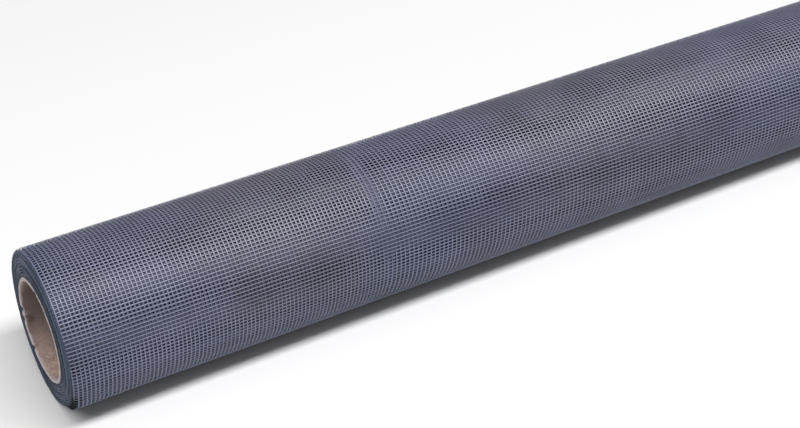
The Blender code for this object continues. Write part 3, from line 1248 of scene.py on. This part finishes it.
def add_ramp(tree, factor, stops):
    """A colour ramp over places and colours, and its output."""
    ramp = tree.nodes.new("ShaderNodeValToRGB")
    while len(ramp.color_ramp.elements) < len(stops):
        ramp.color_ramp.elements.new(0.5)
    for element, (place, color) in zip(ramp.color_ramp.elements, stops):
        element.position = place
        element.color = (*color, 1.0)
    tree.links.new(factor, ramp.inputs["Fac"])
    return ramp.outputs["Color"]


def add_mix(tree, factor, first, second):
    """A colour between two, by a mask. Each of the two is a socket or a plain colour."""
    mix = tree.nodes.new("ShaderNodeMix")
    mix.data_type = "RGBA"
    tree.links.new(factor, mix.inputs["Factor"])
    for value, socket in ((first, mix.inputs[6]), (second, mix.inputs[7])):
        if isinstance(value, bpy.types.NodeSocket):
            tree.links.new(value, socket)
        else:
            socket.default_value = (*value, 1.0)
    return mix.outputs[2]


def multiplied(tree, first, second):
    """Two colours multiplied, channel by channel."""
    mix = tree.nodes.new("ShaderNodeMix")
    mix.data_type = "RGBA"
    mix.blend_type = "MULTIPLY"
    mix.inputs["Factor"].default_value = 1.0
    tree.links.new(first, mix.inputs[6])
    tree.links.new(second, mix.inputs[7])
    return mix.outputs[2]


def add_attribute(tree, name):
    node = tree.nodes.new("ShaderNodeAttribute")
    node.attribute_name = name
    return node.outputs["Fac"]


def add_range(tree, value, low=0.0, high=1.0, least=0.0, most=1.0):
    """A value carried from one range to another and held at its ends, and its output."""
    node = tree.nodes.new("ShaderNodeMapRange")
    for key, setting in (("From Min", low), ("From Max", high), ("To Min", least), ("To Max", most)):
        node.inputs[key].default_value = setting
    tree.links.new(value, node.inputs["Value"])
    return node.outputs[0]


def mottle_group():
    """Cloudy tone between 0 and 1: a coarse and a fine noise on Object coordinates, added together."""
    if "mottle" in bpy.data.node_groups:
        return bpy.data.node_groups["mottle"]
    group = bpy.data.node_groups.new("mottle", "ShaderNodeTree")
    group.interface.new_socket("Coarse scale", in_out="INPUT", socket_type="NodeSocketFloat")
    group.interface.new_socket("Fine scale", in_out="INPUT", socket_type="NodeSocketFloat")
    group.interface.new_socket("Tone", in_out="OUTPUT", socket_type="NodeSocketFloat")
    entry = group.nodes.new("NodeGroupInput")
    leave = group.nodes.new("NodeGroupOutput")
    place = group.nodes.new("ShaderNodeTexCoord")
    noises = []
    for socket in ("Coarse scale", "Fine scale"):
        noise = group.nodes.new("ShaderNodeTexNoise")
        noise.inputs["Detail"].default_value = 3.0
        group.links.new(place.outputs["Object"], noise.inputs["Vector"])
        group.links.new(entry.outputs[socket], noise.inputs["Scale"])
        noises.append(noise.outputs["Fac"])
    fine = add_math(group, "MULTIPLY", noises[1], 0.4)
    tone = add_math(group, "MULTIPLY_ADD", noises[0], 0.6, fine)
    group.links.new(tone, leave.inputs["Tone"])
    return group


def add_mottle(tree, coarse, fine):
    """The mottle group with its two scales, in waves for a metre, and its output."""
    node = tree.nodes.new("ShaderNodeGroup")
    node.node_tree = mottle_group()
    node.inputs["Coarse scale"].default_value = coarse
    node.inputs["Fine scale"].default_value = fine
    return node.outputs["Tone"]


def yarn_material(name, vinyl, vinyl_teal, stops, gloss, specular):
    """Vinyl-coated yarn: cloudy tone, a tone for each yarn that also carries painted light and shade,
    greener patches, greyer stretches, uneven gloss.

    The stops give how light the vinyl is along the tone, and the gloss its least and most roughness.
    """
    material, tree, shader = shader_of(name)
    greyer = tuple(settings().colors.greyer)
    mottle = add_mottle(tree, *MOTTLES["yarn"])
    # The tone attribute carries the yarns' painted light and shade along with their own tone
    tone = add_math(tree, "MULTIPLY_ADD", add_attribute(tree, "yarn_tone_and_shade"), TONE_STEP, mottle)
    plain = add_ramp(tree, tone, [(place, scaled(vinyl, light)) for place, light in stops])
    teal = add_ramp(tree, tone, [(place, scaled(vinyl_teal, light)) for place, light in stops])
    patches = add_range(tree, add_mottle(tree, *MOTTLES["yarn patches"]), low=0.46, high=0.66, most=0.6)
    green = add_math(tree, "ADD", patches, add_attribute(tree, "yarn_teal"))
    green_mix = add_mix(tree, green, plain, teal)
    less_blue = add_mix(tree, add_attribute(tree, "yarn_grey"), (1.0, 1.0, 1.0), greyer)
    tree.links.new(multiplied(tree, green_mix, less_blue), shader.inputs["Base Color"])
    rough = add_range(tree, mottle, least=gloss[0], most=gloss[1])
    matt = add_math(tree, "MULTIPLY_ADD", add_attribute(tree, "yarn_matt"), 0.4, rough)
    tree.links.new(matt, shader.inputs["Roughness"])
    shine = add_math(tree, "MULTIPLY_ADD", add_attribute(tree, "yarn_matt"), -0.95 * specular, specular)
    tree.links.new(shine, shader.inputs["Specular IOR Level"])
    return material


def end_material():
    """Cut turns: navy painted shade where they lie deep and under the corner, painted highlight arcs,
    a teal tint and greyer cut tips.
    """
    colors = settings().colors
    material, tree, shader = shader_of("cut turns")
    mottle = add_mottle(tree, *MOTTLES["end"])
    # Navy painted shade of the gaps between the cut turns
    deep = ((0.3, scaled(colors.vinyl_deep, 0.45)), (0.7, scaled(colors.vinyl_deep, 1.1)))
    navy = add_ramp(tree, mottle, deep)
    # Pale arcs: painted highlights on the turns' edges
    pale = add_mix(tree, add_attribute(tree, "pale"), navy, tuple(colors.vinyl_arc_highlight))
    tint = add_math(tree, "MULTIPLY", add_attribute(tree, "teal"), 0.8)
    teal = add_mix(tree, tint, pale, tuple(colors.end_teal))
    glass = add_math(tree, "MULTIPLY", add_attribute(tree, "glass"), 0.08)
    tips = add_mix(tree, glass, teal, tuple(colors.vinyl))
    # Near-black painted shade under the loose corner
    corner_shaded = add_mix(tree, add_attribute(tree, "corner_shade"), tips, scaled(colors.vinyl_deep, 0.15))
    tree.links.new(corner_shaded, shader.inputs["Base Color"])
    shader.inputs["Roughness"].default_value = 0.6
    shader.inputs["Specular IOR Level"].default_value = 0.3
    return material


def kraft_material():
    """Wound paperboard: brown with purplish clouds, painted shade inside the bore, a pale torn rim and dark
    nicks.
    """
    colors = settings().colors
    material, tree, shader = shader_of("kraft paperboard")
    mottle = add_mottle(tree, *MOTTLES["kraft"])
    fibres = add_mottle(tree, *MOTTLES["fibres"])
    warm, cool = colors.kraft, colors.kraft_cool
    warm_ramp = add_ramp(tree, mottle, ((0.40, scaled(warm, 0.55)), (0.60, scaled(warm, 1.25))))
    cool_ramp = add_ramp(tree, mottle, ((0.40, scaled(cool, 0.6)), (0.60, scaled(cool, 1.2))))
    clouds = add_range(tree, add_mottle(tree, *MOTTLES["kraft clouds"]), low=0.44, high=0.60)
    brown = add_mix(tree, clouds, warm_ramp, cool_ramp)
    # Painted shade inside the bore
    bore_shade = add_math(tree, "MULTIPLY", add_attribute(tree, "bore_shade"), 0.9)
    bore_shaded = add_mix(tree, bore_shade, brown, scaled(cool, 0.3))
    torn = add_ramp(tree, fibres, ((0.3, scaled(colors.kraft_rim, 0.6)), (0.6, tuple(colors.kraft_rim))))
    rimmed = add_mix(tree, add_attribute(tree, "rim"), bore_shaded, torn)
    nicked = add_mix(tree, add_attribute(tree, "nick"), rimmed, scaled(warm, 0.1))
    tree.links.new(nicked, shader.inputs["Base Color"])
    bump = tree.nodes.new("ShaderNodeBump")
    bump.inputs["Strength"].default_value = 0.4
    bump.inputs["Distance"].default_value = 0.0002
    tree.links.new(fibres, bump.inputs["Height"])
    tree.links.new(bump.outputs["Normal"], shader.inputs["Normal"])
    shader.inputs["Roughness"].default_value = 0.85
    return material


def plain_material(name, color, roughness, specular=0.5):
    material, tree, shader = shader_of(name)
    shader.inputs["Specular IOR Level"].default_value = specular
    shader.inputs["Base Color"].default_value = (*color, 1.0)
    shader.inputs["Roughness"].default_value = roughness
    return material


class SCREENROLL_OT_outer_turn(bpy.types.Operator):
    """Weave the outermost turn of the roll"""

    bl_idname = "screenroll.outer_turn"
    bl_label = "Outer turn"

    def execute(self, context):
        colors = settings().colors
        vinyl = (colors.vinyl, colors.vinyl_teal)
        material = yarn_material("vinyl coated yarn", *vinyl, OUTER_STOPS, (0.32, 0.44), 0.75)
        count = len(warp_shares())
        middle, third = count // 2, count // 3
        for piece in (
            woven_warp("outer_warp_near", np.arange(middle), material),
            woven_warp("outer_warp_far", np.arange(middle, count), material),
            woven_weft("outer_weft_near", 0, third + 1, material),
            woven_weft("outer_weft_middle", third, 2 * third + 1, material),
            woven_weft("outer_weft_far", 2 * third, count, material),
        ):
            dress(piece, "screen_roll")
        return {"FINISHED"}


class SCREENROLL_OT_under_turns(bpy.types.Operator):
    """Lay the open turns under the outermost one"""

    bl_idname = "screenroll.under_turns"
    bl_label = "Turns under it"

    def execute(self, context):
        # The turns below take a shaded copy of the coating: painted shade
        below = settings().colors.vinyl_below_shaded
        material = yarn_material("yarn below in painted shade", below, below, BELOW_STOPS, (0.5, 0.6), 0.4)
        for turn in range(1, settings().weave.under_turns + 1):
            dress(under_turn(turn, material), "screen_roll")
        return {"FINISHED"}


class SCREENROLL_OT_inner_turns(bpy.types.Operator):
    """Wind the inner turns, and put a near-black sheet of painted shade under the outermost one's corner"""

    bl_idname = "screenroll.inner_turns"
    bl_label = "Inner turns"

    def execute(self, context):
        # The inner turns take a lighter copy of the coating: painted light in the deep holes
        material = plain_material("deep turns in painted light", settings().colors.vinyl_inner_lightened, 0.6)
        dress(inner_turns(material), "screen_roll")
        # A near-black sheet under the loose corner: painted shade
        dark = plain_material("painted shade sheet", scaled(settings().colors.vinyl_deep, 0.2), 0.9, 0.05)
        dress(corner_shade_sheet(dark), "screen_roll")
        return {"FINISHED"}


class SCREENROLL_OT_cut_ends(bpy.types.Operator):
    """Cut both ends of the roll"""

    bl_idname = "screenroll.cut_ends"
    bl_label = "Cut ends"

    def execute(self, context):
        material = end_material()
        for side in (-1, 1):
            dress(cut_end(side, material), "screen_roll")
        return {"FINISHED"}


class SCREENROLL_OT_paper_core(bpy.types.Operator):
    """Make the paper core"""

    bl_idname = "screenroll.paper_core"
    bl_label = "Paper core"

    def execute(self, context):
        dress(paper_core(kraft_material()), "core_tube")
        return {"FINISHED"}


class SCREENROLL_OT_stage(bpy.types.Operator):
    """Set the floor, the lights and the camera"""

    bl_idname = "screenroll.stage"
    bl_label = "Stage"

    def execute(self, context):
        stage = settings().stage
        scene = context.scene
        half = 4.0
        corners = np.array([(-half, -half, 0.0), (half, -half, 0.0), (half, half, 0.0), (-half, half, 0.0)])
        material = plain_material("pale floor", settings().colors.floor, 0.8)
        new_piece("floor", corners, [np.array([[0, 1, 2, 3]])], material, smooth=False)

        world = bpy.data.worlds.new("even light")
        world.use_nodes = True
        world.node_tree.nodes["Background"].inputs["Color"].default_value = (1.0, 1.0, 1.0, 1.0)
        world.node_tree.nodes["Background"].inputs["Strength"].default_value = stage.sky_strength
        scene.world = world

        light = bpy.data.lights.new("key light", "AREA")
        light.shape = "RECTANGLE"
        light.size = stage.key_length
        light.size_y = stage.key_width
        light.energy = stage.key_power
        key = bpy.data.objects.new("key light", light)
        key.location = stage.key_place
        key.rotation_euler = (np.arctan2(stage.key_place[1], stage.key_place[2]), 0.0, 0.0)
        scene.collection.objects.link(key)

        lens = bpy.data.cameras.new("camera")
        lens.lens = stage.camera_lens
        lens.sensor_width = 36.0
        lens.clip_start = 0.01
        camera = bpy.data.objects.new("camera", lens)
        camera.location = stage.camera_place
        camera.rotation_euler = (np.pi / 2 - stage.camera_dip, 0.0, -stage.camera_heading)
        scene.collection.objects.link(camera)
        scene.camera = camera
        scene.view_settings.view_transform = "Standard"
        return {"FINISHED"}


class ScreenRollSettings(bpy.types.PropertyGroup):
    """All the settings of the roll"""

    roll: PointerProperty(type=RollSizes)
    near: PointerProperty(type=NearEndSizes)
    weave: PointerProperty(type=WeaveSizes)
    band: PointerProperty(type=BandSizes)
    slip: PointerProperty(type=SlipSizes)
    core: PointerProperty(type=CoreSizes)
    colors: PointerProperty(type=FinishColors)
    stage: PointerProperty(type=StageSizes)


OPERATORS = (
    SCREENROLL_OT_outer_turn,
    SCREENROLL_OT_under_turns,
    SCREENROLL_OT_inner_turns,
    SCREENROLL_OT_cut_ends,
    SCREENROLL_OT_paper_core,
    SCREENROLL_OT_stage,
)


class SCREENROLL_PT_panel(bpy.types.Panel):
    """The steps that dress the roll"""

    bl_idname = "SCREENROLL_PT_panel"
    bl_label = "Screen roll"
    bl_space_type = "VIEW_3D"
    bl_region_type = "UI"
    bl_category = "Screen roll"

    def draw(self, context):
        for operator in OPERATORS:
            self.layout.operator(operator.bl_idname)


CLASSES = (
    RollSizes,
    NearEndSizes,
    WeaveSizes,
    BandSizes,
    SlipSizes,
    CoreSizes,
    FinishColors,
    StageSizes,
    ScreenRollSettings,
    *OPERATORS,
    SCREENROLL_PT_panel,
)


def register():
    for each in CLASSES:
        bpy.utils.register_class(each)
    bpy.types.Scene.screen_roll = PointerProperty(type=ScreenRollSettings)


def unregister():
    del bpy.types.Scene.screen_roll
    for each in reversed(CLASSES):
        bpy.utils.unregister_class(each)


def main():
    register()
    bpy.ops.screenroll.stage()
    bpy.ops.screenroll.outer_turn()
    bpy.ops.screenroll.under_turns()
    bpy.ops.screenroll.inner_turns()
    bpy.ops.screenroll.cut_ends()
    bpy.ops.screenroll.paper_core()


if __name__ == "__main__":
    main()
